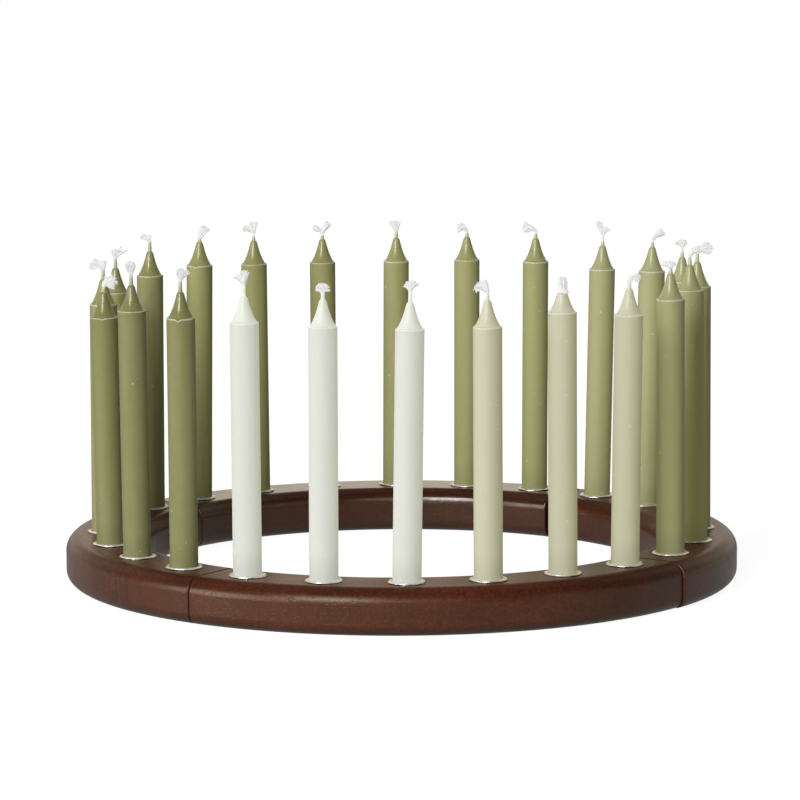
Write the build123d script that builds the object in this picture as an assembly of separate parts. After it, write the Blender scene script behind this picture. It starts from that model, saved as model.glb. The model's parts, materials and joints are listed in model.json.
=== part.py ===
from build123d import *

import os
from math import atan, cos, degrees, radians, sin

# The ring: four loose wooden quarters that lie flat, with the ring's centre at the origin
RING_OUTER_RADIUS = 160.0
RING_WIDTH = 37.0
RING_HEIGHT = 21.5
TOP_ROUND = 7.0
BOTTOM_ROUND = 5.5
END_EASE = 0.8
SEAM_GAP = 0.3
SEAM_STEP = 1.2  # how far the right quarter stands proud of the front one, along their seam

# Where the middle of each quarter points, in degrees about +Z
QUARTER_TURNS = {"front": -90, "right": 0, "back": 90, "left": 180}
CANDLES_PER_QUARTER = 6
QUARTER_ANGLE = 360 / len(QUARTER_TURNS)
CANDLE_STEP = QUARTER_ANGLE / CANDLES_PER_QUARTER

# The sheet-metal cups that are let into the wood and hold the candles
CUP_DEPTH = 16.0
CUP_WALL = 0.35
FLANGE_WIDTH = 1.1
FLANGE_THICKNESS = 0.4
FLANGE_ROUND = 0.15
SOCKET_CLEARANCE = 0.05

# The candles: a straight body, a hollow-sided tip and a thin neck of wax round the wick
CANDLE_DIAMETER = 13.0
CANDLE_CLEARANCE = 0.35
CANDLE_BODY_LENGTH = 131.5
LENGTH_SPREAD = 3.0
FOOT_CHAMFER = 0.5
RIM_WIDTH = 0.3
RIM_HEIGHT = 0.25
TIP_HEIGHT = 12.0
TIP_WAIST_DIAMETER = 6.8
TIP_WAIST_HEIGHT = 5.4
TIP_TOP_DIAMETER = 2.3
NECK_DIAMETER = 1.9
NECK_LENGTH = 3.0
NECK_TAPER = 0.5

# The cotton wicks: a core through the whole candle and a frayed tuft above it
WICK_DIAMETER = 1.4
WICK_CLEARANCE = 0.02
WICK_RECESS = 0.5
WICK_BARE = 0.4
WICK_BEND_RADIUS = 1.9
TUFT_LENGTH = 5.2
TUFT_DIAMETER = 5.6

# How full the tuft is at its lower third and at its shoulder, as shares of its size
TUFT_FLARE_SHARES = (0.45, 0.3)
TUFT_SHOULDER_SHARE = 0.68
TUFT_CROWN_SHARES = (0.7, 0.94)

# One row for each candle, counted counter-clockwise from the left end of the front quarter:
# length share of the spread, neck share of the neck length, lean to +X as a share of the play in the cup,
# and the wick's bend in degrees with the direction that it bends to, in degrees about +Z
CANDLE_SHARES = [
    (-0.6, 1.4, -0.2, 30, 180),
    (-0.7, 0.8, 0.1, 0, 0),
    (-1.0, 1.5, 0.7, 12, 0),
    (-0.9, 0.8, -0.1, 75, 190),
    (0.7, 0.1, -0.2, 0, 0),
    (-0.6, 0.8, 0.55, 80, -10),
    (0.7, 0.6, -0.2, 25, 170),
    (0.85, 1.0, -0.9, 45, 10),
    (0.15, 1.2, -0.2, 60, -15),
    (-0.3, 0.7, 0.1, 8, 120),
    (0.25, 0.6, 0.9, 50, 10),
    (-0.35, 0.5, 0.9, 15, 200),
    (0.25, 0.6, 0.2, 65, 175),
    (0.15, 0.5, 0.1, 75, 185),
    (-0.15, 0.9, 0.3, 28, 190),
    (-0.15, 0.5, -0.1, 18, 170),
    (0.1, 0.5, -0.3, 30, 175),
    (0.65, 0.3, 0.55, 35, 5),
    (0.0, 1.4, 0.2, 60, 180),
    (-1.55, 1.2, -0.1, 30, -20),
    (-2.15, 1.3, 0.2, 70, 195),
    (-2.9, 0.6, -0.65, 60, -5),
    (-0.65, 1.4, -0.45, 15, 160),
    (-0.7, 1.4, -0.1, 10, 0),
]

# Sizes that follow from the ones above
PITCH_RADIUS = RING_OUTER_RADIUS - RING_WIDTH / 2
CANDLE_RADIUS = CANDLE_DIAMETER / 2
CUP_INNER_RADIUS = CANDLE_RADIUS + CANDLE_CLEARANCE
CUP_OUTER_RADIUS = CUP_INNER_RADIUS + CUP_WALL
FLANGE_RADIUS = CUP_OUTER_RADIUS + FLANGE_WIDTH
SOCKET_RADIUS = CUP_OUTER_RADIUS + SOCKET_CLEARANCE
SOCKET_DEPTH = CUP_DEPTH - FLANGE_THICKNESS + CUP_WALL + SOCKET_CLEARANCE
CUP_FLOOR = RING_HEIGHT + FLANGE_THICKNESS - CUP_DEPTH
WICK_RADIUS = WICK_DIAMETER / 2
WICK_BORE_RADIUS = WICK_RADIUS + WICK_CLEARANCE


def hole_angles():
    """Directions of one quarter's candles, in degrees from the quarter's middle."""
    middle = (CANDLES_PER_QUARTER - 1) / 2
    return [(number - middle) * CANDLE_STEP for number in range(CANDLES_PER_QUARTER)]


def quarter_place(name):
    """Where a quarter lies: turned to its side, and the right one slipped out along its front seam."""
    seam = radians(QUARTER_TURNS["right"] - QUARTER_ANGLE / 2)
    slip = SEAM_STEP if name == "right" else 0
    return Pos(slip * cos(seam), slip * sin(seam), 0) * Rot(0, 0, QUARTER_TURNS[name])


def hole_place(angle):
    """The centre of a candle hole on the underside's plane, within a quarter."""
    return Rot(0, 0, angle) * Pos(PITCH_RADIUS, 0, 0)


def spun(outline):
    """A closed outline of radius and height, turned round the Z axis."""
    return revolve(Plane.XZ * make_face(outline), Axis.Z)


def quarter():
    """A quarter of the ring with rounded edges, eased ends and blind sockets, its middle along +X."""
    section = Pos(PITCH_RADIUS, RING_HEIGHT / 2) * Rectangle(RING_WIDTH, RING_HEIGHT)
    section = fillet(section.vertices().group_by(Axis.Y)[-1], TOP_ROUND)
    section = fillet(section.vertices().group_by(Axis.Y)[0], BOTTOM_ROUND)
    turn = QUARTER_ANGLE - degrees(SEAM_GAP / PITCH_RADIUS)
    wood = revolve(Rot(0, 0, -turn / 2) * (Plane.XZ * section), Axis.Z, turn)
    flats = wood.faces().filter_by(GeomType.PLANE)
    ends = [face for face in flats if abs(face.normal_at().Z) < abs(face.normal_at().X)]
    wood = fillet([edge for face in ends for edge in face.edges()], END_EASE)
    bore = Cylinder(SOCKET_RADIUS, SOCKET_DEPTH, align=(Align.CENTER, Align.CENTER, Align.MAX))
    for angle in hole_angles():
        wood -= hole_place(angle) * Pos(0, 0, RING_HEIGHT) * bore
    return wood


def cup():
    """A thin cup with a closed floor and a flange, its flange seated at z = 0."""
    top = FLANGE_THICKNESS
    floor = top - CUP_DEPTH
    outline = Polyline(
        (0, floor - CUP_WALL),
        (CUP_OUTER_RADIUS, floor - CUP_WALL),
        (CUP_OUTER_RADIUS, 0),
        (FLANGE_RADIUS, 0),
        (FLANGE_RADIUS, top),
        (CUP_INNER_RADIUS, top),
        (CUP_INNER_RADIUS, floor),
        (0, floor),
        close=True,
    )
    metal = spun(outline)
    rims = metal.edges().group_by(Axis.Z)[-1]
    return fillet(rims, FLANGE_ROUND)


def candle(length, neck):
    """A candle standing on z = 0, with the wick's bore, the shoulder's rim, the tip and the neck."""
    rim_radius = CANDLE_RADIUS - RIM_WIDTH
    tip_base = length + RIM_HEIGHT
    tip_top = length + TIP_HEIGHT
    tip_radius = TIP_TOP_DIAMETER / 2
    neck_radius = NECK_DIAMETER / 2
    neck_base = tip_top + NECK_TAPER
    neck_top = neck_base + neck
    below = Polyline(
        (WICK_BORE_RADIUS, neck_top),
        (WICK_BORE_RADIUS, 0),
        (CANDLE_RADIUS - FOOT_CHAMFER, 0),
        (CANDLE_RADIUS, FOOT_CHAMFER),
        (CANDLE_RADIUS, length),
        (rim_radius, tip_base),
    )
    waist = (TIP_WAIST_DIAMETER / 2, length + TIP_WAIST_HEIGHT)
    side = ThreePointArc((rim_radius, tip_base), waist, (tip_radius, tip_top))
    above = Polyline(
        (tip_radius, tip_top),
        (neck_radius, neck_base),
        (neck_radius, neck_top),
        (WICK_BORE_RADIUS, neck_top),
    )
    return spun(below + side + above)


def tuft():
    """The frayed end of a wick as one full, tulip-shaped solid, standing on z = 0."""
    radius = TUFT_DIAMETER / 2
    flare_radius_share, flare_height_share = TUFT_FLARE_SHARES
    crown_radius_share, crown_height_share = TUFT_CROWN_SHARES
    shoulder = (radius, TUFT_LENGTH * TUFT_SHOULDER_SHARE)
    crown = (radius * crown_radius_share, TUFT_LENGTH * crown_height_share)
    flare = (radius * flare_radius_share, TUFT_LENGTH * flare_height_share)
    foot = Polyline((0, TUFT_LENGTH), (0, 0), (WICK_RADIUS, 0))
    side = Spline((WICK_RADIUS, 0), flare, shoulder, crown, (0, TUFT_LENGTH))
    return spun(foot + side)


def wick(neck_top, bend, direction):
    """A wick through its candle, bent over above the neck and ending in its tuft."""
    bend_base = neck_top + WICK_BARE
    core_length = bend_base - WICK_RECESS
    core = Cylinder(WICK_RADIUS, core_length, align=(Align.CENTER, Align.CENTER, Align.MIN))
    cotton = Pos(0, 0, WICK_RECESS) * core
    end = Pos(0, 0, bend_base)
    if bend:
        pivot = Pos(WICK_BEND_RADIUS, 0, bend_base)
        axis = Axis(pivot.position, (0, 1, 0))
        cotton += revolve(end * Circle(WICK_RADIUS), axis, bend)
        end = pivot * Rot(0, bend, 0) * Pos(-WICK_BEND_RADIUS, 0, 0)
    cotton += end * tuft()
    return Rot(0, 0, direction) * cotton


def candle_place(quarter_name, angle, lean_share):
    """Where a candle stands in its cup: tilted towards +X by a share of its play, on its low edge."""
    lean = atan(CANDLE_CLEARANCE * lean_share / CUP_DEPTH)
    lift = (CANDLE_RADIUS - FOOT_CHAMFER) * sin(abs(lean))
    hole = quarter_place(quarter_name) * hole_place(angle)
    return Pos(hole.position) * Pos(0, 0, CUP_FLOOR + lift) * Rot(0, degrees(lean), 0)


def save(shape, node):
    """Write one node's solids."""
    export_step(shape, f"parts/{node}.step")


os.makedirs("parts", exist_ok=True)
shares = iter(CANDLE_SHARES)
wooden_quarter = quarter()
metal_cup = cup()
number = 0
for name in QUARTER_TURNS:
    place = quarter_place(name)
    save(place * wooden_quarter, f"quarter_{name}")
    cups = [place * hole_place(angle) * Pos(0, 0, RING_HEIGHT) * metal_cup for angle in hole_angles()]
    save(Compound(children=cups), f"cups_{name}")
    for angle in hole_angles():
        number += 1
        length_share, neck_share, lean_share, bend, direction = next(shares)
        length = CANDLE_BODY_LENGTH + LENGTH_SPREAD * length_share
        neck = NECK_LENGTH * neck_share
        stand = candle_place(name, angle, lean_share)
        neck_top = length + TIP_HEIGHT + NECK_TAPER + neck
        save(stand * candle(length, neck), f"candle_{number:02d}")
        save(stand * wick(neck_top, bend, direction), f"wick_{number:02d}")
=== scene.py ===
import json
import random
from math import cos, exp, pi, radians, sin

import bmesh
import bpy
from mathutils import Matrix, Vector, noise
from mathutils.geometry import interpolate_bezier

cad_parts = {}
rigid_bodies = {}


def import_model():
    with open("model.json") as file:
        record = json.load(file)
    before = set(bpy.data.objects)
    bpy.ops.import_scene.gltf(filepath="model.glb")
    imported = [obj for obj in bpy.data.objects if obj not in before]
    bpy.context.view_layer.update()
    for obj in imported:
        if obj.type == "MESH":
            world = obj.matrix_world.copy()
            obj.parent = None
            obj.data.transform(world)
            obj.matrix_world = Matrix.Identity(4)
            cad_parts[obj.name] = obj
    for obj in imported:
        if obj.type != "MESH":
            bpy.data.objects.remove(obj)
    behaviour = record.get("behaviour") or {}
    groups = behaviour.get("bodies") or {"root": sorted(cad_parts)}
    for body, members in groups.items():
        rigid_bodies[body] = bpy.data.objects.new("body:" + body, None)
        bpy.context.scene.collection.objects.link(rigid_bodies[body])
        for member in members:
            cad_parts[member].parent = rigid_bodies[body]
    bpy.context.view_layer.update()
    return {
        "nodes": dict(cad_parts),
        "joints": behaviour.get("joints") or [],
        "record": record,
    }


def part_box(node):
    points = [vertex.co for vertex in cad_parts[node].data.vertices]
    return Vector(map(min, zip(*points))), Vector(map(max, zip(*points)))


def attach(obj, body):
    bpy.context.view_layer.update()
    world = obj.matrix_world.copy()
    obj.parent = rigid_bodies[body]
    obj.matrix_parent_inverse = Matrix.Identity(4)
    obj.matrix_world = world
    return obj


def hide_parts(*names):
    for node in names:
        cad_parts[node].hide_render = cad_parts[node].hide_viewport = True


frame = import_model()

MM = 0.001
UP = Vector((0, 0, 1))
WHITE = (1, 1, 1, 1)
BLACK = (0, 0, 0, 1)

# The camera: where it stands round the ring, how it looks down and rolls, and its lens on a 36 mm sensor
CAMERA_TURN = radians(-98.52)
CAMERA_DISTANCE = 1.8271
CAMERA_HEIGHT = 0.3291
CAMERA_PITCH = radians(7.636)
CAMERA_ROLL = radians(-0.225)
CAMERA_LENS = 173.57
CAMERA_SENSOR = 36

# Level directions of the camera's picture: to its right, and away from it
PICTURE_RIGHT = Vector((-sin(CAMERA_TURN), cos(CAMERA_TURN), 0))
PICTURE_AWAY = Vector((-cos(CAMERA_TURN), -sin(CAMERA_TURN), 0))

# The ring's quarters, with the direction of each one's grain about the upright axis
GRAIN_TURNS = {"front": 0, "right": 90, "back": 180, "left": 270}

# The stain, from the dark to the light of its figure, with its pores and the dust on it
STAIN_STOPS = [
    (0.1, (0.052, 0.0125, 0.0058, 1)),
    (0.5, (0.096, 0.0242, 0.0110, 1)),
    (0.9, (0.148, 0.0400, 0.0182, 1)),
]
PORE_COLOUR = (0.028, 0.009, 0.006, 1)
DUST_COLOUR = (0.42, 0.34, 0.29, 1)

# The grain: how it is squeezed along, across and up, how far it is warped, each part's share of the figure
BROAD_SQUEEZE = (9, 60, 60)
FIBRE_SQUEEZE = (90, 520, 520)
FLECK_SQUEEZE = (750, 750, 55)
PORE_SQUEEZE = (110, 1500, 1500)
WARP = 4 * MM
BROAD_SHARE = 0.8
FIBRE_SHARE = 0.3
MOTTLE_SHARE = 1.7

# The wood's surface: its blotches, pores, dust, roughness, worn lacquer and relief
BLOTCH_SHADE = (0.3, 0.7, 0.86, 1.12)
PORE_SHARE = 0.28
DUST_SPECKS = (110.0, 0.04, 0.16)
DUST_SHARE = 0.45
WOOD_ROUGHNESS = (0.4, 0.26)
LACQUER_WEAR = (0.3, 0.75, 1.0, 0.76)
WOOD_RELIEF = (0.2, 0.3 * MM)

# Changes with the slope of the wood: from and to which upward share of its normal, and the values there
# The wood is darker on its rounded edges, top and bottom
EDGE_SHADE = (0.1, 0.6, 1.0, 0.78)
# The flat top is made lighter: painted light from above, added to the edges' factor
TOP_PAINTED_LIGHT = (0.96, 0.995, 0.0, 0.35)
TOP_SLOPE = (0.7, 0.9)
SHEEN_LEVELS = (0.1, 0.38, 0.8, 0.18)
SHEEN_TINT = (1, 0.8, 0.58, 1)

# The top gleams at a low angle: between which facing values it is dull to bright, and what is left when dull
DULL_VIEW = (0.68, 0.81, 1.0, 0.0)
DULL_LACQUER = 0.1
DULL_SHEEN = 0.3

# Clear lacquer on each quarter: from and to which upward share of the normal, on its faces, on its top
LACQUER_SHARES = {
    "front": (0.8, 0.99, 0.12, 0.15),
    "right": (0.8, 0.99, 0.12, 0.1),
    "back": (0.02, 0.2, 0.35, 1.0),
    "left": (0.8, 0.99, 0.12, 0.25),
}
LACQUER_ROUGHNESS = {"front": 0.28, "right": 0.28, "back": 0.16, "left": 0.28}

# Painted shade: how light each quarter's colour is kept at its left end, middle and right end, as seen from
# outside the ring, darker where less light reaches it
PAINTED_SHADE_LEVELS = {
    "front": (0.88, 1, 0.72),
    "right": (0.85, 0.9, 0.9),
    "back": (0.66, 0.66, 0.66),
    "left": (0.82, 0.82, 0.82),
}
PAINTED_SHADE_SPAN = 0.09

# How strongly upright flecks show in the stain of each quarter
FLECK_SHARES = {"front": 0.5, "right": 0.4, "back": 0.2, "left": 1.7}

# The pressed cups: their metal, duller and brighter, its roughness, polish and relief, and their sizes
METAL_COLOURS = ((0.82, 0.79, 0.73, 1), (0.98, 0.96, 0.91, 1))
METAL_ROUGHNESS = (0.2, 0.8, 0.2, 0.42)
METAL_POLISH = (0.35, 0.65, 0.4, 0.95)
METAL_RELIEF = (0.35, 0.12 * MM)
CUP_INNER_RADIUS = 6.85 * MM
CUP_WALL = 0.35 * MM
CUP_DEPTH = 16 * MM
FLANGE_WIDTH = 1.25 * MM
FLANGE_THICKNESS = 0.4 * MM
FLANGE_EDGE = 0.18 * MM
FLANGE_DOME = 0.55 * MM
FLANGE_ROWS = (0.35, 0.7)
FLANGE_WAVE = 0.3 * MM
FLANGE_RAGGED = 0.3 * MM
WAVE_FINENESS = 220
RAGGED_FINENESS = 260
CUP_STEPS = 64

# The candles
CANDLE_STEPS = 56
BODY_ROWS = 14
BODY_WAVE = 0.035 * MM
BODY_FINENESS = 90
BODY_STRETCH = 8
FOOT_CHAMFER = 0.5 * MM
BORE_RADIUS = 0.72 * MM
RIM_WIDTH = 0.55 * MM
RIM_HEIGHT = 0.28 * MM
RIM_WAVE = 0.12 * MM
RIM_FINENESS = 1.6
TIP_HEIGHT = 12 * MM
TIP_ROWS = 14
TIP_END_SHARES = (0.27, 0.91)
TIP_HANDLE_SHARES = ((0.66, 0.19), (0.44, 0.52))
TIP_CROWN_SHARES = ((0.245, 0.945), (0.2, 0.975))
NECK_TAPER = 0.1 * MM
NECK_RADIUS = 0.95 * MM
NECK_SHARES = (1, 0.9, 0.84)
NECK_PALE_FROM = 0.95 * TIP_HEIGHT

# How far apart the noise of neighbouring candles lies, so that no two are alike
RIM_STEP = 3.7
WAVE_STEP = 5.3
RAGGED_STEP = 9.1

# Painted shade: the wax is darker towards the dark wood, where little light is bounced onto it: between
# which heights, and the values there
FOOT_SHADE = (21.5 * MM, 34 * MM, 0.82, 1.0)

# The wax's surface: its upright streaks, its bloom, its chips, the breaks in its pale rim, and its relief
STREAK_SQUEEZE = (160, 160, 14)
WAX_BLOOM = (0.55, 0.95)
LARGE_CHIPS = (150.0, 0.11, 0.3)
SMALL_CHIPS = (330.0, 0.12, 0.08)
RIM_BREAKS = (0.3, 0.6, 0.35, 1.0)
WAX_RELIEF = (0.1, 0.2 * MM)

# Light that is carried through pale wax: from which green on, how much, and the glow that stands for it
CARRIED_FROM = 0.33
CARRIED_GAIN = 0.84
GLOW_GAIN = 1.26

# Waxes a little darker or lighter than their record colour
WAX_SHADES = {
    "wax_white": 0.97, "wax_pale_green": 0.97, "wax_light_green": 0.97,
    "wax_moss": 1.06, "wax_dark_olive": 0.81,
}

# Small runs of wax below the rim: candle number, turn from the camera's side in degrees, depth
RIM_DRIPS = {24: (-9, 0.9 * MM), 18: (-14, 0.5 * MM), 22: (-5, 0.45 * MM)}
DRIP_SPREAD = radians(7)

# The wicks: their cotton, greyer and whiter, how far its base is darkened, its glow, which is painted light
# that keeps the strands' shading pale, its relief, and their sizes
COTTON_COLOURS = ((0.84, 0.85, 0.84, 1), (0.95, 0.95, 0.94, 1))
COTTON_DARKENED = 0.55
COTTON_PAINTED_GLOW = 0.52
COTTON_RELIEF = (0.4, 0.1 * MM)
WICK_RADIUS = 0.7 * MM
WICK_STEPS = 16
STRAND_RADIUS = 0.3 * MM
FILLER_RADIUS = 0.62 * MM
FILLER_SHARE = 0.3
STRAND_POINTS = 6

# What each strand's length is of its arm's reach, and how far its line wanders, in degrees
FILLER_REACH = (0.7, 0.88)
STRAND_REACH = (0.86, 1.03)
WANDER = 9
BEND_WANDER = 5

# How far a wick stands bare above its neck before it frays, in mm
WICK_TRUNKS = {8: 1, 10: 3, 11: 1.6, 12: 4, 13: 1.6, 14: 1, 16: 1.6, 17: 2.4}
DEFAULT_TRUNK = 0.6

# The arms of each frayed wick as the camera sees them, angles in degrees: tilt from upright to the right,
# reach in mm, half spread, further bend towards the end, how far the ends splay, number of strands
WICK_ARMS = {
    1: [(-48, 6.0, 9, -8, 8, 34), (2, 6.6, 20, 0, 4, 70), (-20, 5.4, 10, 0, 6, 20)],
    2: [(0, 4.4, 40, 0, 34, 120), (-56, 3.6, 14, -34, 10, 30), (58, 3.6, 12, 34, 10, 30)],
    3: [(32, 4.8, 20, 26, 6, 60), (-4, 4.2, 24, 0, 6, 60), (-40, 3.8, 14, -24, 12, 34)],
    4: [(-24, 6.4, 16, -14, 8, 60), (-30, 7.0, 12, -70, 10, 60), (-40, 7.6, 10, -95, 12, 26)],
    5: [(0, 7.2, 6, 0, -2, 120)],
    6: [(22, 6.4, 12, 120, 14, 70), (36, 7.0, 10, 125, 22, 50), (-4, 3.4, 14, 70, 10, 30)],
    7: [(-66, 4.6, 10, -8, 10, 30), (-10, 3.6, 34, 0, 16, 50), (48, 3.4, 14, 16, 14, 24)],
    8: [(52, 6.6, 12, 10, 4, 70), (30, 5.2, 9, 20, 6, 16)],
    9: [(58, 7.0, 12, 4, 6, 40), (78, 8.0, 12, 6, 6, 50), (92, 7.4, 9, 24, 8, 30)],
    10: [(-58, 4.2, 16, -10, 10, 36), (-5, 3.6, 34, 0, 16, 50), (48, 3.4, 16, 10, 12, 28)],
    11: [(54, 7.2, 15, 12, 8, 120)],
    12: [(-28, 7.0, 9, 2, 4, 70), (-8, 3.6, 20, 0, 6, 50), (42, 4.4, 16, 16, 8, 56)],
    13: [(-74, 5.4, 8, -50, 8, 60), (-74, 7.6, 8, -26, 46, 80)],
    14: [(-44, 6.0, 18, -40, 8, 90), (-52, 6.4, 14, -80, 16, 50)],
    15: [(-34, 6.2, 14, 0, 4, 60), (0, 5.8, 14, 0, 6, 36), (22, 4.6, 8, 0, 6, 14)],
    16: [(-62, 5.6, 13, -8, 16, 70), (42, 6.6, 14, -4, 4, 90)],
    17: [(-66, 6.2, 14, -20, 8, 80), (-18, 5.8, 11, 0, 5, 50), (12, 5.8, 10, 0, 5, 50)],
    18: [(34, 7.0, 26, 6, -6, 150), (20, 4.0, 24, 0, 4, 50)],
    19: [(-8, 3.4, 34, 0, 10, 60), (-58, 5.2, 14, -20, 8, 80)],
    20: [(4, 5.2, 34, 0, -6, 80), (50, 8.0, 4, -28, 8, 6), (66, 8.0, 4, -18, 8, 6)],
    21: [(0, 4.6, 30, 0, -4, 50), (-46, 7.0, 16, -40, 8, 50), (-66, 7.8, 12, -50, 12, 26)],
    22: [(40, 5.6, 18, -10, 4, 50), (62, 7.2, 18, 10, 16, 60), (84, 5.8, 16, 40, 14, 40)],
    23: [(-4, 6.4, 62, 0, -84, 200)],
    24: [(2, 6.0, 44, 0, -52, 150), (44, 5.8, 10, 0, 4, 36)],
}

# The one wick whose tuft sits over the tip itself, as a broad brush with a skirt
BRUSH_CANDLE = 5
BRUSH_FOOT = 8.7 * MM
BRUSH_RADIUS = 1.5 * MM
SKIRT_REACH = 3.0 * MM
SKIRT_STRANDS = 90


# Small helpers for shader nodes
def add(tree, kind, inputs=None, **settings):
    """A shader node with its settings, each input set to a value or linked to another node's output."""
    made = tree.nodes.new("ShaderNode" + kind)
    for name, value in settings.items():
        setattr(made, name, value)
    for name, value in (inputs or {}).items():
        socket = made.inputs[name]
        if isinstance(value, bpy.types.NodeSocket):
            tree.links.new(value, socket)
        else:
            socket.default_value = value
    return made


def maths(tree, operation, first, second=0.0):
    """The result of one sum on two values."""
    return add(tree, "Math", {0: first, 1: second}, operation=operation).outputs[0]


def mixed(tree, factor, first, second, blend="MIX"):
    """Two colours mixed by a factor."""
    made = add(tree, "Mix", {0: factor, 6: first, 7: second}, data_type="RGBA", blend_type=blend)
    return made.outputs[2]


def ranged(tree, value, low, high, to_low=0.0, to_high=1.0):
    """A value taken from one range to another, without going past its ends."""
    inputs = {"Value": value, "From Min": low, "From Max": high, "To Min": to_low, "To Max": to_high}
    return add(tree, "MapRange", inputs).outputs["Result"]


def swing(tree, value, share):
    """A value from 0 to 1 as a swing about zero, by a share."""
    return maths(tree, "MULTIPLY", maths(tree, "SUBTRACT", value, 0.5), share)


def along_axis(tree, vector, axis):
    """One part of a vector."""
    return add(tree, "SeparateXYZ", {0: vector}).outputs[axis]


def colour_run(tree, value, stops):
    """A colour from a run of stops, each with its place from 0 to 1 and its colour."""
    made = add(tree, "ValToRGB", {"Fac": value})
    elements = made.color_ramp.elements
    for position, _ in stops[1:-1]:
        elements.new(position)
    for element, (position, colour) in zip(elements, stops):
        element.position, element.color = position, colour
    return made.outputs["Color"]


def squeezed(tree, vector, scale):
    """A place vector with its own scale along each axis."""
    return add(tree, "Mapping", {"Vector": vector, "Scale": scale}).outputs["Vector"]


def clouds(tree, vector, scale, detail=3.0, roughness=0.5):
    """Soft noise from 0 to 1."""
    inputs = {"Vector": vector, "Scale": scale, "Detail": detail, "Roughness": roughness}
    return add(tree, "TexNoise", inputs).outputs["Fac"]


def raised(tree, height, strength, distance):
    """A surface's normal, with a height raised on it."""
    inputs = {"Height": height, "Strength": strength, "Distance": distance}
    return add(tree, "Bump", inputs).outputs["Normal"]


def new_group(name, inputs, outputs):
    """An empty shader node group with its sockets, and its input and output nodes."""
    group = bpy.data.node_groups.new(name, "ShaderNodeTree")
    for socket, kind in inputs:
        group.interface.new_socket(socket, in_out="INPUT", socket_type=kind)
    for socket, kind in outputs:
        group.interface.new_socket(socket, in_out="OUTPUT", socket_type=kind)
    return group, group.nodes.new("NodeGroupInput"), group.nodes.new("NodeGroupOutput")


def new_material(name):
    """A new material with its empty node tree, and its Object coordinates."""
    material = bpy.data.materials.new(name)
    material.use_nodes = True
    tree = material.node_tree
    tree.nodes.clear()
    place = add(tree, "TexCoord").outputs["Object"]
    return material, tree, place


def finish_material(tree, shader):
    """Links a shader to the material's output."""
    add(tree, "OutputMaterial", {"Surface": shader})


def by_ray(tree, direct, mirrored, other):
    """One shader seen directly, another in mirrored views, and a third for all other light."""
    light_path = add(tree, "LightPath").outputs
    seen = maths(tree, "MAXIMUM", light_path["Is Camera Ray"], light_path["Is Transmission Ray"])
    bounced = add(tree, "MixShader", {0: light_path["Is Glossy Ray"], 1: other, 2: mirrored}).outputs[0]
    return add(tree, "MixShader", {0: seen, 1: bounced, 2: direct}).outputs[0]


def linked(name, data):
    """A new object in the scene."""
    made = bpy.data.objects.new(name, data)
    bpy.context.scene.collection.objects.link(made)
    return made


# Effects that several materials share
def specks_group():
    """Sparse round specks, such as dust or chips: cells to a metre, size in a cell, share of cells used."""
    group, given, result = new_group(
        "sparse_specks",
        [("Vector", "NodeSocketVector"), ("Cells", "NodeSocketFloat"), ("Size", "NodeSocketFloat"),
         ("Share", "NodeSocketFloat")],
        [("Specks", "NodeSocketFloat")],
    )
    cells = add(group, "TexVoronoi", {"Vector": given.outputs["Vector"], "Scale": given.outputs["Cells"]})
    edge = maths(group, "MULTIPLY", given.outputs["Size"], 0.5)
    distance = cells.outputs["Distance"]
    spot = ranged(group, distance, given.outputs["Size"], edge)
    pick = add(group, "SeparateColor", {"Color": cells.outputs["Color"]}).outputs["Red"]
    kept = maths(group, "LESS_THAN", pick, given.outputs["Share"])
    group.links.new(maths(group, "MULTIPLY", spot, kept), result.inputs["Specks"])
    return group


def wood_grain_group():
    """Grain that runs along X: broad figure, fine fibres, short pores and upright flecks."""
    group, given, result = new_group(
        "wood_grain",
        [("Vector", "NodeSocketVector"), ("Flecks", "NodeSocketFloat")],
        [("Figure", "NodeSocketFloat"), ("Pores", "NodeSocketFloat"), ("Height", "NodeSocketFloat")],
    )
    place = given.outputs["Vector"]
    warp = add(group, "TexNoise", {"Vector": place, "Scale": 14.0, "Detail": 2.0}).outputs["Color"]
    shift = add(group, "VectorMath", {0: warp, 1: (WARP, WARP, WARP)}, operation="MULTIPLY").outputs[0]
    bent = add(group, "VectorMath", {0: place, 1: shift}, operation="ADD").outputs[0]
    broad = clouds(group, squeezed(group, bent, BROAD_SQUEEZE), 1.0, 2.0, 0.5)
    fibre = clouds(group, squeezed(group, bent, FIBRE_SQUEEZE), 1.0, 3.0, 0.6)
    mottle = clouds(group, bent, 800.0, 4.0, 0.7)
    flecks = clouds(group, squeezed(group, place, FLECK_SQUEEZE), 1.0, 2.0, 0.5)
    patch = ranged(group, clouds(group, place, 22.0), 0.45, 0.6)
    fleck_share = maths(group, "MULTIPLY", patch, given.outputs["Flecks"])
    figure = swing(group, broad, BROAD_SHARE)
    for part, share in ((fibre, FIBRE_SHARE), (mottle, MOTTLE_SHARE), (flecks, fleck_share)):
        figure = maths(group, "ADD", figure, swing(group, part, share))
    figure = maths(group, "ADD", figure, 0.5)
    pores = ranged(group, clouds(group, squeezed(group, bent, PORE_SQUEEZE), 1.0, 1.0), 0.63, 0.72)
    fibre_height = maths(group, "MULTIPLY", fibre, 0.4)
    mottle_height = maths(group, "MULTIPLY", mottle, 0.5)
    height = maths(group, "SUBTRACT", maths(group, "ADD", fibre_height, mottle_height), pores)
    group.links.new(figure, result.inputs["Figure"])
    group.links.new(pores, result.inputs["Pores"])
    group.links.new(height, result.inputs["Height"])
    return group


SPECKS = specks_group()
WOOD_GRAIN = wood_grain_group()


def specks(tree, vector, cells, size, share):
    """Sparse specks placed in one material."""
    made = add(tree, "Group", node_tree=SPECKS)
    tree.links.new(vector, made.inputs["Vector"])
    for name, value in (("Cells", cells), ("Size", size), ("Share", share)):
        made.inputs[name].default_value = value
    return made.outputs["Specks"]


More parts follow.
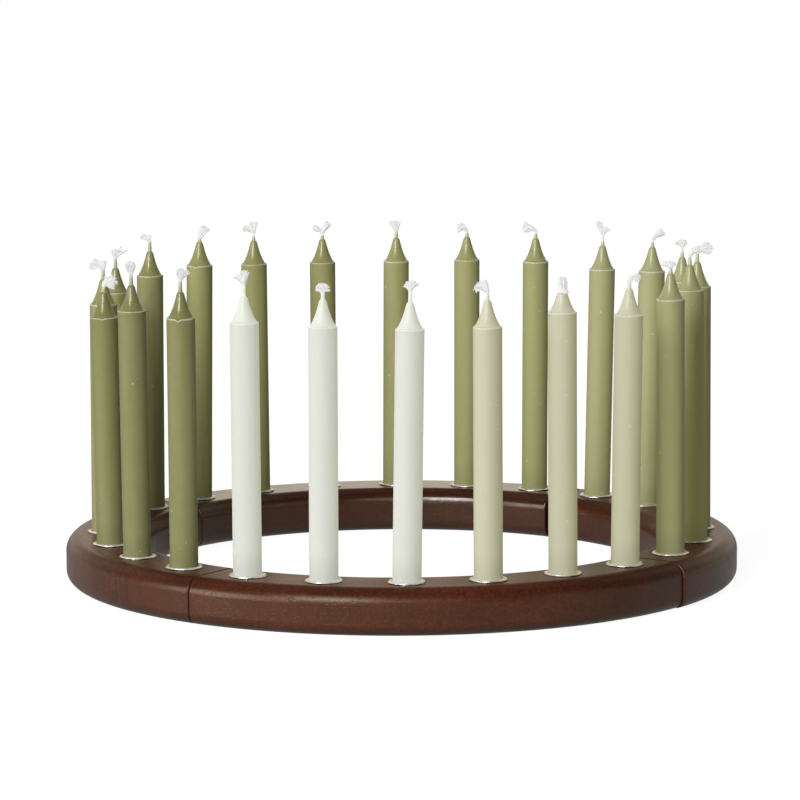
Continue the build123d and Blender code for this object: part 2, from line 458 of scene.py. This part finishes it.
# The materials
def stained_wood(quarter):
    """Dark red-brown stained wood under a satin lacquer, its grain along the quarter's chord."""
    material, tree, place = new_material(f"stained_wood_{quarter}")
    turn = GRAIN_TURNS[quarter]
    offset = turn / 90
    mapping = {"Vector": place, "Rotation": (0, 0, -radians(turn)), "Location": (offset, 0, 0)}
    along = add(tree, "Mapping", mapping).outputs["Vector"]
    grain = add(tree, "Group", node_tree=WOOD_GRAIN)
    tree.links.new(along, grain.inputs["Vector"])
    grain.inputs["Flecks"].default_value = FLECK_SHARES[quarter]
    blotch = ranged(tree, clouds(tree, place, 16.0), *BLOTCH_SHADE)
    # Painted shade along each quarter, darker towards some ends and all over the back quarter
    reach = ranged(tree, along_axis(tree, along, "X"), offset - PAINTED_SHADE_SPAN, offset + PAINTED_SHADE_SPAN)
    levels = zip((0, 0.5, 1), PAINTED_SHADE_LEVELS[quarter])
    painted_shade = colour_run(tree, reach, [(position, (level, level, level, 1)) for position, level in levels])
    upward = along_axis(tree, add(tree, "NewGeometry").outputs["Normal"], "Z")
    edge = ranged(tree, maths(tree, "ABSOLUTE", upward), *EDGE_SHADE)
    # Painted light: the flat top is made lighter than the rest of the wood
    edge = maths(tree, "ADD", edge, ranged(tree, upward, *TOP_PAINTED_LIGHT))
    colour = colour_run(tree, grain.outputs["Figure"], STAIN_STOPS)
    for shade in (blotch, painted_shade, edge):
        colour = mixed(tree, 1.0, colour, shade, "MULTIPLY")
    colour = mixed(tree, maths(tree, "MULTIPLY", grain.outputs["Pores"], PORE_SHARE), colour, PORE_COLOUR)
    dust = specks(tree, place, *DUST_SPECKS)
    colour = mixed(tree, maths(tree, "MULTIPLY", dust, DUST_SHARE), colour, DUST_COLOUR)
    rough = ranged(tree, grain.outputs["Figure"], 0.0, 1.0, *WOOD_ROUGHNESS)
    smear = clouds(tree, place, 38.0, 4.0)
    coat = ranged(tree, maths(tree, "ADD", smear, dust), *LACQUER_WEAR)
    coat = maths(tree, "MULTIPLY", coat, ranged(tree, upward, *LACQUER_SHARES[quarter]))
    sheen = ranged(tree, upward, *SHEEN_LEVELS)
    facing = add(tree, "LayerWeight", {"Blend": 0.5}).outputs["Facing"]
    dulled = maths(tree, "MULTIPLY", ranged(tree, facing, *DULL_VIEW), ranged(tree, upward, *TOP_SLOPE))
    coat = maths(tree, "MULTIPLY", coat, ranged(tree, dulled, 0.0, 1.0, 1.0, DULL_LACQUER))
    sheen = maths(tree, "MULTIPLY", sheen, ranged(tree, dulled, 0.0, 1.0, 1.0, DULL_SHEEN))
    normal = raised(tree, grain.outputs["Height"], *WOOD_RELIEF)
    shader = add(tree, "BsdfPrincipled", {
        "Base Color": colour, "Roughness": rough, "Specular IOR Level": sheen, "Specular Tint": SHEEN_TINT,
        "Coat Weight": coat, "Coat Roughness": LACQUER_ROUGHNESS[quarter], "Coat IOR": 1.5,
        "Normal": normal,
    })
    finish_material(tree, shader.outputs["BSDF"])
    return material


def pressed_metal():
    """Bright thin sheet metal with a slightly uneven, handled surface."""
    material, tree, place = new_material("pressed_metal")
    smear = clouds(tree, place, 260.0, 4.0)
    fine = clouds(tree, place, 1800.0, 2.0)
    colour = mixed(tree, smear, *METAL_COLOURS)
    rough = ranged(tree, smear, *METAL_ROUGHNESS)
    polish = ranged(tree, smear, *METAL_POLISH)
    normal = raised(tree, fine, *METAL_RELIEF)
    shader = add(tree, "BsdfPrincipled", {
        "Base Color": colour, "Roughness": rough, "Metallic": polish, "Normal": normal,
    })
    finish_material(tree, shader.outputs["BSDF"])
    return material


def candle_wax(slot, colour):
    """Dyed wax: a satin body with a faint bloom and pale chips, a pale rim and a glossier dipped tip."""
    material, tree, place = new_material(slot)
    rim = add(tree, "Attribute", attribute_name="rim").outputs["Fac"]
    tip = add(tree, "Attribute", attribute_name="tip").outputs["Fac"]
    neck = add(tree, "Attribute", attribute_name="neck").outputs["Fac"]
    red, green, blue = colour
    # The glow is painted light: an emission that stands for light carried through pale wax, with the base
    # colour darkened by the same share
    carried = max(0.0, CARRIED_GAIN * (green - CARRIED_FROM))
    glow = GLOW_GAIN * carried
    shade = WAX_SHADES.get(slot, 1.0)
    dye = (shade * red, shade * green, shade * blue * min(1.1, 0.8 + 1.2 * carried))
    through = (red, green, blue * max(0.2, 0.06 + 2 * carried), 1)
    pale = (0.60 + 0.32 * red, 0.62 + 0.30 * green, (0.50 + 0.40 * blue) * (1 + 0.2 * carried), 1)
    deep = (*(share * (0.84 + 0.78 * carried) for share in dye), 1)
    bloom = (*(0.96 * share + 0.04 for share in dye), 1)
    streaks = clouds(tree, squeezed(tree, place, STREAK_SQUEEZE), 1.0, 3.0)
    mottle = clouds(tree, place, 240.0, 4.0, 0.6)
    veil = ranged(tree, maths(tree, "ADD", streaks, maths(tree, "MULTIPLY", mottle, 0.5)), *WAX_BLOOM)
    body = mixed(tree, veil, (*dye, 1), bloom)
    body = mixed(tree, maths(tree, "MULTIPLY", tip, 0.8), body, deep)
    large_chips = specks(tree, place, *LARGE_CHIPS)
    small_chips = specks(tree, place, *SMALL_CHIPS)
    chips = maths(tree, "MAXIMUM", large_chips, small_chips)
    broken = ranged(tree, clouds(tree, place, 900.0, 2.0), *RIM_BREAKS)
    broken_rim = maths(tree, "MULTIPLY", rim, broken)
    light = maths(tree, "MAXIMUM", maths(tree, "MULTIPLY", chips, 0.7), broken_rim)
    light = maths(tree, "MULTIPLY", maths(tree, "MAXIMUM", light, neck), 0.75)
    body = mixed(tree, light, body, pale)
    # The colour of the painted glow: the body through deeper-tinted wax, paler on the rim, chips and neck
    lit = mixed(tree, light, mixed(tree, 1.0, body, through, "DARKEN"), pale)
    # Painted shade on the lower body, over both its colour and its glow
    foot = ranged(tree, along_axis(tree, place, "Z"), *FOOT_SHADE)
    body = mixed(tree, 1.0, body, foot, "MULTIPLY")
    lit = mixed(tree, 1.0, lit, foot, "MULTIPLY")
    rough = ranged(tree, tip, 0.0, 1.0, 0.46, 0.2 + 0.5 * carried)
    rough = maths(tree, "ADD", rough, swing(tree, mottle, 0.1))
    height = maths(tree, "ADD", maths(tree, "MULTIPLY", mottle, 0.6), chips)
    normal = raised(tree, height, *WAX_RELIEF)
    shader = add(tree, "BsdfPrincipled", {
        "Base Color": mixed(tree, glow, body, BLACK), "Roughness": rough, "IOR": 1.44,
        "Specular IOR Level": 0.5 - 0.6 * carried, "Subsurface Weight": 0.1 + 0.6 * glow,
        "Subsurface Radius": (1.0, 1.0, 0.5), "Subsurface Scale": 1.2 * MM,
        "Emission Color": lit, "Emission Strength": glow, "Normal": normal,
    })
    finish_material(tree, shader.outputs["BSDF"])
    return material


def frayed_cotton():
    """Undyed cotton yarn with fine fibres, greyer and whiter in random patches, and a glow of painted light.
    """
    material, tree, place = new_material("frayed_cotton")
    fibre = clouds(tree, place, 2600.0, 3.0)
    tone = clouds(tree, place, 700.0, 2.0)
    colour = mixed(tree, ranged(tree, tone, 0.3, 0.7), *COTTON_COLOURS)
    # Painted light: the base is darkened and the cotton glows in its own colour, so its shading stays pale
    matt = mixed(tree, COTTON_DARKENED, colour, BLACK)
    normal = raised(tree, fibre, *COTTON_RELIEF)
    shader = add(tree, "BsdfPrincipled", {
        "Base Color": matt, "Roughness": 0.9, "Specular IOR Level": 0.1, "Emission Color": colour,
        "Emission Strength": COTTON_PAINTED_GLOW, "Normal": normal,
    })
    finish_material(tree, shader.outputs["BSDF"])
    return material


# The pieces
def add_piece(name, mesh, material, body, slot, *nodes):
    """A finished mesh as a piece that rides on a body, takes the given material and stands for CAD nodes;
    its slot is not used.
    """
    piece = linked(name, mesh)
    mesh.materials.append(material)
    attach(piece, body)
    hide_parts(*nodes)


def outline_wire(shape, points):
    """Vertices and edges along radius and height points, for a spin."""
    wire = [shape.verts.new((radius, 0, height)) for radius, height in points]
    edges = [shape.edges.new(pair) for pair in zip(wire, wire[1:])]
    return wire + edges


def spun(shape, points, steps):
    """The vertices of a closed skin, made from radius and height points turned round Z."""
    before = set(shape.verts)
    bmesh.ops.spin(shape, geom=outline_wire(shape, points), cent=(0, 0, 0), axis=(0, 0, 1), dvec=(0, 0, 0),
                   angle=2 * pi, steps=steps, use_merge=True)
    bmesh.ops.remove_doubles(shape, verts=[v for v in shape.verts if v not in before], dist=MM / 1000)
    return [v for v in shape.verts if v not in before]


def meshed(shape, name):
    """A mesh from a bmesh, with its faces smooth and pointing outwards."""
    bmesh.ops.recalc_face_normals(shape, faces=shape.faces)
    for face in shape.faces:
        face.smooth = True
    mesh = bpy.data.meshes.new(name)
    shape.to_mesh(mesh)
    shape.free()
    return mesh


class Stand:
    """Where a candle stands and what it measures, read from its CAD node and its joint."""

    def __init__(self, number):
        self.number = number
        self.name = f"candle_{number:02d}"
        joint = next(joint for joint in frame["joints"] if joint["name"] == f"{self.name}_lift")
        self.quarter = joint["parent"]
        upright = Vector(joint["axis"]).rotation_difference(UP).to_matrix()
        points = [upright @ vertex.co for vertex in frame["nodes"][self.name].data.vertices]
        low = Vector(min(point[k] for point in points) for k in range(3))
        high = Vector(max(point[k] for point in points) for k in range(3))
        middle = (low + high) / 2
        self.radius = (high.x - low.x) / 2
        edge = [p.z for p in points if (p.xy - middle.xy).length > self.radius - 0.05 * MM]
        self.shoulder = max(edge) - low.z
        self.top = high.z - low.z
        self.foot = upright.inverted() @ Vector((middle.x, middle.y, low.z))
        self.place = Matrix.Translation(self.foot) @ upright.inverted().to_4x4()


STANDS = [Stand(number) for number in range(1, 25)]


def rim_fall(stand, turn):
    """How far the rim of a candle hangs down at a turn about its axis: a slight wave, and a run of wax."""
    at = Vector((cos(turn), sin(turn), RIM_STEP * stand.number))
    fall = RIM_WAVE * noise.noise(at * RIM_FINENESS)
    if stand.number in RIM_DRIPS:
        drip_turn, depth = RIM_DRIPS[stand.number]
        away = (turn - CAMERA_TURN - radians(drip_turn) + pi) % (2 * pi) - pi
        fall += depth * exp(-((away / DRIP_SPREAD) ** 2))
    return fall


def candle_outline(stand):
    """Radius and height of a candle from its bore at the foot, up its body and tip, to the neck's top."""
    radius, shoulder = stand.radius, stand.shoulder
    points = [(BORE_RADIUS, 0), (radius - FOOT_CHAMFER, 0)]
    rise = (shoulder - 2 * RIM_HEIGHT - FOOT_CHAMFER) / BODY_ROWS
    points += [(radius, FOOT_CHAMFER + row * rise) for row in range(BODY_ROWS + 1)]
    points += [(radius + 0.1 * RIM_HEIGHT, shoulder - RIM_HEIGHT), (radius, shoulder)]
    points += [(radius - 0.3 * RIM_WIDTH, shoulder + 0.8 * RIM_HEIGHT)]
    points += [(radius - 0.7 * RIM_WIDTH, shoulder + RIM_HEIGHT)]
    tip_base = Vector((radius - RIM_WIDTH, shoulder + 0.7 * RIM_HEIGHT))
    shares = (*TIP_HANDLE_SHARES, TIP_END_SHARES, *TIP_CROWN_SHARES)
    spots = [Vector((radius * wide, shoulder + TIP_HEIGHT * high)) for wide, high in shares]
    lower, upper, end, *crown = spots
    points += [tuple(point.xy) for point in interpolate_bezier(tip_base, lower, upper, end, TIP_ROWS)]
    points += [tuple(point) for point in crown]
    neck_base = shoulder + TIP_HEIGHT + NECK_TAPER
    neck_heights = (neck_base, (neck_base + stand.top) / 2, stand.top)
    points += [(share * NECK_RADIUS, height) for share, height in zip(NECK_SHARES, neck_heights)]
    points += [(BORE_RADIUS, stand.top), (BORE_RADIUS, 0)]
    return points


def candle(stand):
    """A dipped candle: straight body, uneven rim, hollow-sided tip and a thin neck round the wick."""
    shape = bmesh.new()
    layers = {name: shape.verts.layers.float.new(name) for name in ("rim", "tip", "neck")}
    vertices = spun(shape, candle_outline(stand), CANDLE_STEPS)
    shoulder = stand.shoulder
    for vertex in vertices:
        flat = Vector(vertex.co.xy)
        height = vertex.co.z - shoulder
        turn = flat.angle_signed(Vector((1, 0))) if flat.length else 0.0
        outside = flat.length > BORE_RADIUS + 0.01 * MM
        on_rim = abs(height) <= RIM_HEIGHT and flat.length > stand.radius - 0.8 * RIM_WIDTH
        vertex[layers["rim"]] = 1.0 if on_rim else 0.0
        vertex[layers["tip"]] = 1.0 if outside and height > 0 and not on_rim else 0.0
        along_neck = (height - NECK_PALE_FROM) / (stand.top - shoulder - NECK_PALE_FROM)
        vertex[layers["neck"]] = min(1.0, max(0.0, along_neck)) ** 0.7
        if outside and -4 * RIM_HEIGHT < height < 2 * RIM_HEIGHT:
            vertex.co.z -= rim_fall(stand, turn)
        if outside and 0 < vertex.co.z:
            spot = Vector((vertex.co.x, vertex.co.y, vertex.co.z / BODY_STRETCH))
            wave = noise.noise(spot * BODY_FINENESS + UP * stand.number)
            vertex.co.xy *= 1 + BODY_WAVE * wave / max(flat.length, NECK_RADIUS)
    bmesh.ops.transform(shape, matrix=stand.place, verts=shape.verts)
    return meshed(shape, f"{stand.name}_wax")


def strand_points(root, tilt, side_tilt, reach, bend, rng):
    """The line of one strand: up out of the wick, over to its tilt, and further round towards its end."""
    step = reach / (STRAND_POINTS - 1)
    points = [root]
    for number in range(1, STRAND_POINTS):
        share = number / (STRAND_POINTS - 1)
        lean = radians(tilt * min(1, 0.35 + share) + bend * share ** 2 + rng.uniform(-WANDER, WANDER))
        sideways = radians(side_tilt * min(1, 0.35 + share) + rng.uniform(-WANDER, WANDER))
        heading = UP * cos(lean) + PICTURE_RIGHT * sin(lean) + PICTURE_AWAY * sin(sideways)
        points.append(points[-1] + heading.normalized() * step)
    return points


def tuft_lines(stand):
    """The lines of a wick's strands, each with its thickness: thin ones, and thicker yarn among them."""
    rng = random.Random(stand.number)
    axis = stand.place.to_3x3() @ UP
    brush = stand.number == BRUSH_CANDLE
    start = stand.shoulder + BRUSH_FOOT if brush else trunk_top(stand) - 0.4 * MM
    spread_radius = BRUSH_RADIUS if brush else 0.8 * WICK_RADIUS
    lines = []
    for tilt, reach, spread, bend, splay, strands in WICK_ARMS[stand.number]:
        for number in range(strands):
            filler = number < FILLER_SHARE * strands
            turn = rng.uniform(0, 2 * pi)
            out = spread_radius * rng.random() ** 0.5
            root = stand.foot + axis * start + Vector((cos(turn) * out, sin(turn) * out, 0))
            share = rng.uniform(-1, 1) * (0.8 if filler else 1.0)
            depth = rng.uniform(-1, 1)
            length = reach * MM * rng.uniform(*(FILLER_REACH if filler else STRAND_REACH))
            end_bend = bend + splay * share + rng.uniform(-BEND_WANDER, BEND_WANDER)
            line = strand_points(root, tilt + spread * share, spread * depth, length, end_bend, rng)
            lines.append((line, FILLER_RADIUS if filler else STRAND_RADIUS))
    if brush:
        for number in range(SKIRT_STRANDS):
            turn = 2 * pi * number / SKIRT_STRANDS + rng.uniform(-0.1, 0.1)
            outward = Vector((cos(turn), sin(turn), 0))
            top = stand.foot + axis * (start + SKIRT_REACH) + outward * 0.9 * BRUSH_RADIUS
            line = [top]
            for row in range(1, STRAND_POINTS):
                share = row / (STRAND_POINTS - 1)
                fall = SKIRT_REACH * share * rng.uniform(0.9, 1.1)
                line.append(top - axis * fall + outward * SKIRT_REACH * 0.55 * share ** 1.5)
            lines.append((line, STRAND_RADIUS))
    return lines


def trunk_top(stand):
    """How high a wick stands bare, from the candle's foot."""
    return stand.top + WICK_TRUNKS.get(stand.number, DEFAULT_TRUNK) * MM


def wick(stand):
    """A cotton wick: a core that shows above the neck, and the frayed strands of its tuft."""
    curve = bpy.data.curves.new(f"wick_{stand.number:02d}_yarn", "CURVE")
    curve.dimensions = "3D"
    curve.resolution_u = 2
    curve.bevel_depth = STRAND_RADIUS
    curve.bevel_resolution = 0
    curve.use_fill_caps = True
    for line, thickness in tuft_lines(stand):
        spline = curve.splines.new("NURBS")
        spline.points.add(len(line) - 1)
        for number, (point, knot) in enumerate(zip(line, spline.points)):
            knot.co = (*point, 1)
            knot.radius = thickness / STRAND_RADIUS * (1 - 0.5 * (number / (len(line) - 1)) ** 2)
        spline.order_u = 3
        spline.use_endpoint_u = True
    holder = linked(curve.name, curve)
    bpy.context.view_layer.update()
    strands = bpy.data.meshes.new_from_object(holder.evaluated_get(bpy.context.evaluated_depsgraph_get()))
    bpy.data.objects.remove(holder)
    bpy.data.curves.remove(curve)
    shape = bmesh.new()
    top = stand.top if stand.number == BRUSH_CANDLE else trunk_top(stand)
    core = [(0, MM), (WICK_RADIUS, MM), (WICK_RADIUS, stand.top), (1.1 * WICK_RADIUS, top), (0, top)]
    spun(shape, core, WICK_STEPS)
    bmesh.ops.transform(shape, matrix=stand.place, verts=shape.verts)
    shape.from_mesh(strands)
    bpy.data.meshes.remove(strands)
    return meshed(shape, f"wick_{stand.number:02d}_yarn")


def cup_outline():
    """Radius and height of a pressed cup, from its floor's underside, round the flange, to its floor."""
    outer = CUP_INNER_RADIUS + CUP_WALL
    rim = outer + FLANGE_WIDTH
    floor = FLANGE_THICKNESS - CUP_DEPTH
    rows = [outer + share * FLANGE_WIDTH for share in FLANGE_ROWS]
    return [
        (0, floor - CUP_WALL), (outer - CUP_WALL, floor - CUP_WALL), (outer, floor), (outer, 0),
        *((radius, 0) for radius in rows), (rim - FLANGE_EDGE, 0), (rim, FLANGE_EDGE),
        (rim, FLANGE_THICKNESS - FLANGE_EDGE), (rim - FLANGE_EDGE, FLANGE_THICKNESS),
        *((radius, FLANGE_THICKNESS) for radius in reversed(rows)), (outer, FLANGE_THICKNESS),
        (CUP_INNER_RADIUS + FLANGE_EDGE, FLANGE_THICKNESS),
        (CUP_INNER_RADIUS, FLANGE_THICKNESS - FLANGE_EDGE), (CUP_INNER_RADIUS, floor), (0, floor),
    ]


def cups(quarter):
    """The six pressed cups of one quarter, each with a domed flange that is a little wavy and ragged."""
    shape = bmesh.new()
    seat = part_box(f"cups_{quarter}")[1].z - FLANGE_THICKNESS
    for stand in STANDS:
        if stand.quarter != f"quarter_{quarter}":
            continue
        vertices = spun(shape, cup_outline(), CUP_STEPS)
        for vertex in vertices:
            flat = Vector(vertex.co.xy)
            share = max(0, flat.length - CUP_INNER_RADIUS - CUP_WALL) / FLANGE_WIDTH
            if vertex.co.z > -MM:
                lift = noise.noise(Vector((*(flat * WAVE_FINENESS), WAVE_STEP * stand.number)))
                spread = noise.noise(Vector((*(flat * RAGGED_FINENESS), RAGGED_STEP * stand.number)))
                vertex.co.z += FLANGE_DOME * (1 - share ** 2) + FLANGE_WAVE * share * max(0, lift + 0.25)
                vertex.co.xy *= 1 + FLANGE_RAGGED * share * spread / flat.length
        bmesh.ops.translate(shape, vec=(stand.foot.x, stand.foot.y, seat), verts=vertices)
    return meshed(shape, f"cups_{quarter}_pressed")


# The stage: half the floor's size, and how far it lies below the ring
FLOOR_SIZE = 6
FLOOR_DROP = 0.1 * MM

# The floor: its greys seen directly and to other light, its glow in mirrored views, its glow by distance
FLOOR_SHOWN = (0.2, 0.2, 0.2, 1)
FLOOR_DIM = (0.08, 0.08, 0.08, 1)
FLOOR_MIRRORED = (0.3, 0.36)
FLOOR_WHITE = (0.2, 0.7, 0.94, 1.0)

# The studio's light from in front of the ring to behind it, in mirrored views and as a soft fill
WORLD_MIRRORED = (-0.2, 0.9, 0.05, 0.79)
WORLD_MIRRORED_COLOUR = (1, 0.89, 0.72, 1)
WORLD_FILL = (0.4, 0.95, 0.015, 0.7)


def studio_floor():
    """A plain pale floor that shows white to the camera and keeps the object's shadow."""
    shape = bmesh.new()
    bmesh.ops.create_grid(shape, x_segments=1, y_segments=1, size=FLOOR_SIZE)
    bmesh.ops.translate(shape, vec=-FLOOR_DROP * UP, verts=shape.verts)
    material, tree, place = new_material("pale_floor")
    shade = ranged(tree, clouds(tree, place, 3.0), 0.0, 1.0, *FLOOR_MIRRORED)
    paper = add(tree, "Emission", {"Color": WHITE, "Strength": shade}).outputs[0]
    shown = add(tree, "BsdfDiffuse", {"Color": FLOOR_SHOWN}).outputs[0]
    far = add(tree, "VectorMath", {0: place}, operation="LENGTH").outputs["Value"]
    glow = add(tree, "Emission", {"Color": WHITE, "Strength": ranged(tree, far, *FLOOR_WHITE)}).outputs[0]
    white = add(tree, "AddShader", {0: shown, 1: glow}).outputs[0]
    dim = add(tree, "BsdfDiffuse", {"Color": FLOOR_DIM}).outputs[0]
    finish_material(tree, by_ray(tree, white, paper, dim))
    mesh = bpy.data.meshes.new("floor")
    shape.to_mesh(mesh)
    shape.free()
    mesh.materials.append(material)
    floor = linked("floor", mesh)


def studio_world():
    """A studio round the object: white to the camera, bright behind in mirrored views and dim elsewhere."""
    world = bpy.data.worlds.new("studio")
    world.use_nodes = True
    tree = world.node_tree
    tree.nodes.clear()
    direction = add(tree, "TexCoord").outputs["Generated"]
    pair = {0: direction, 1: tuple(PICTURE_AWAY)}
    behind = add(tree, "VectorMath", pair, operation="DOT_PRODUCT").outputs["Value"]
    gleam = {"Color": WORLD_MIRRORED_COLOUR, "Strength": ranged(tree, behind, *WORLD_MIRRORED)}
    fill = {"Color": WHITE, "Strength": ranged(tree, behind, *WORLD_FILL)}
    mirrored = add(tree, "Background", gleam).outputs[0]
    dim = add(tree, "Background", fill).outputs[0]
    white = add(tree, "Background", {"Color": WHITE, "Strength": 1.0}).outputs[0]
    add(tree, "OutputWorld", {"Surface": by_ray(tree, white, mirrored, dim)})
    bpy.context.scene.world = world


LAMP_AIM = Vector((0, 0, 0.08))

# Name, turn from the camera's side in degrees, height angle in degrees, distance, width, height, watts
LAMPS = [
    ("key_softbox", -25, 27, 3.4, 1.3, 1.4, 90),
    ("left_panel", -66, 11, 3.4, 2.0, 1.3, 40),
    ("front_panel", 6, 24, 3.6, 1.6, 1.4, 9),
    ("right_panel", 60, 18, 3.4, 1.6, 1.8, 3.5),
]


def lamp(name, turn, height, distance, width, tall, watts):
    """A soft rectangular lamp aimed at the candles."""
    data = bpy.data.lights.new(name, "AREA")
    data.shape = "RECTANGLE"
    data.size, data.size_y, data.energy = width, tall, watts
    holder = linked(name, data)
    bearing, rise = CAMERA_TURN + radians(turn), radians(height)
    back = Vector((cos(bearing) * cos(rise), sin(bearing) * cos(rise), sin(rise)))
    holder.location = LAMP_AIM + back * distance
    holder.rotation_euler = (-back).to_track_quat("-Z", "Y").to_euler()
    holder.visible_camera = False


def camera():
    """The camera at the photograph's place."""
    data = bpy.data.cameras.new("camera")
    data.lens = CAMERA_LENS
    data.sensor_width = CAMERA_SENSOR
    holder = linked("camera", data)
    holder.location = CAMERA_HEIGHT * UP - CAMERA_DISTANCE * PICTURE_AWAY
    turned = Matrix.Rotation(CAMERA_TURN + pi / 2, 3, "Z")
    tipped = Matrix.Rotation(pi / 2 - CAMERA_PITCH, 3, "X")
    rolled = Matrix.Rotation(CAMERA_ROLL, 3, "Z")
    holder.rotation_euler = (turned @ tipped @ rolled).to_euler()
    bpy.context.scene.camera = holder


# Putting it together
bpy.context.scene.view_settings.view_transform = "Standard"
camera()
studio_floor()
studio_world()
for row in LAMPS:
    lamp(*row)

base_colours = {material["slot"]: material["base_color"] for material in frame["record"]["materials"]}
node_slots = {part["node"]: part["material_slot"] for part in frame["record"]["subparts"]}
wax_slots = [slot for slot in base_colours if slot.startswith("wax_")]
wax = {slot: candle_wax(slot, base_colours[slot][:3]) for slot in wax_slots}
cotton = frayed_cotton()
metal = pressed_metal()
for quarter in GRAIN_TURNS:
    wood = f"quarter_{quarter}"
    frame["nodes"][wood].material_slots[0].material = stained_wood(quarter)
    add_piece(f"cups_{quarter}_pressed", cups(quarter), metal, wood, "cup_metal", f"cups_{quarter}")
for stand in STANDS:
    slot = node_slots[stand.name]
    add_piece(f"{stand.name}_wax", candle(stand), wax[slot], stand.name, slot, stand.name)
    number = f"wick_{stand.number:02d}"
    add_piece(f"{number}_yarn", wick(stand), cotton, stand.name, "cotton", number)

bpy.context.view_layer.update()
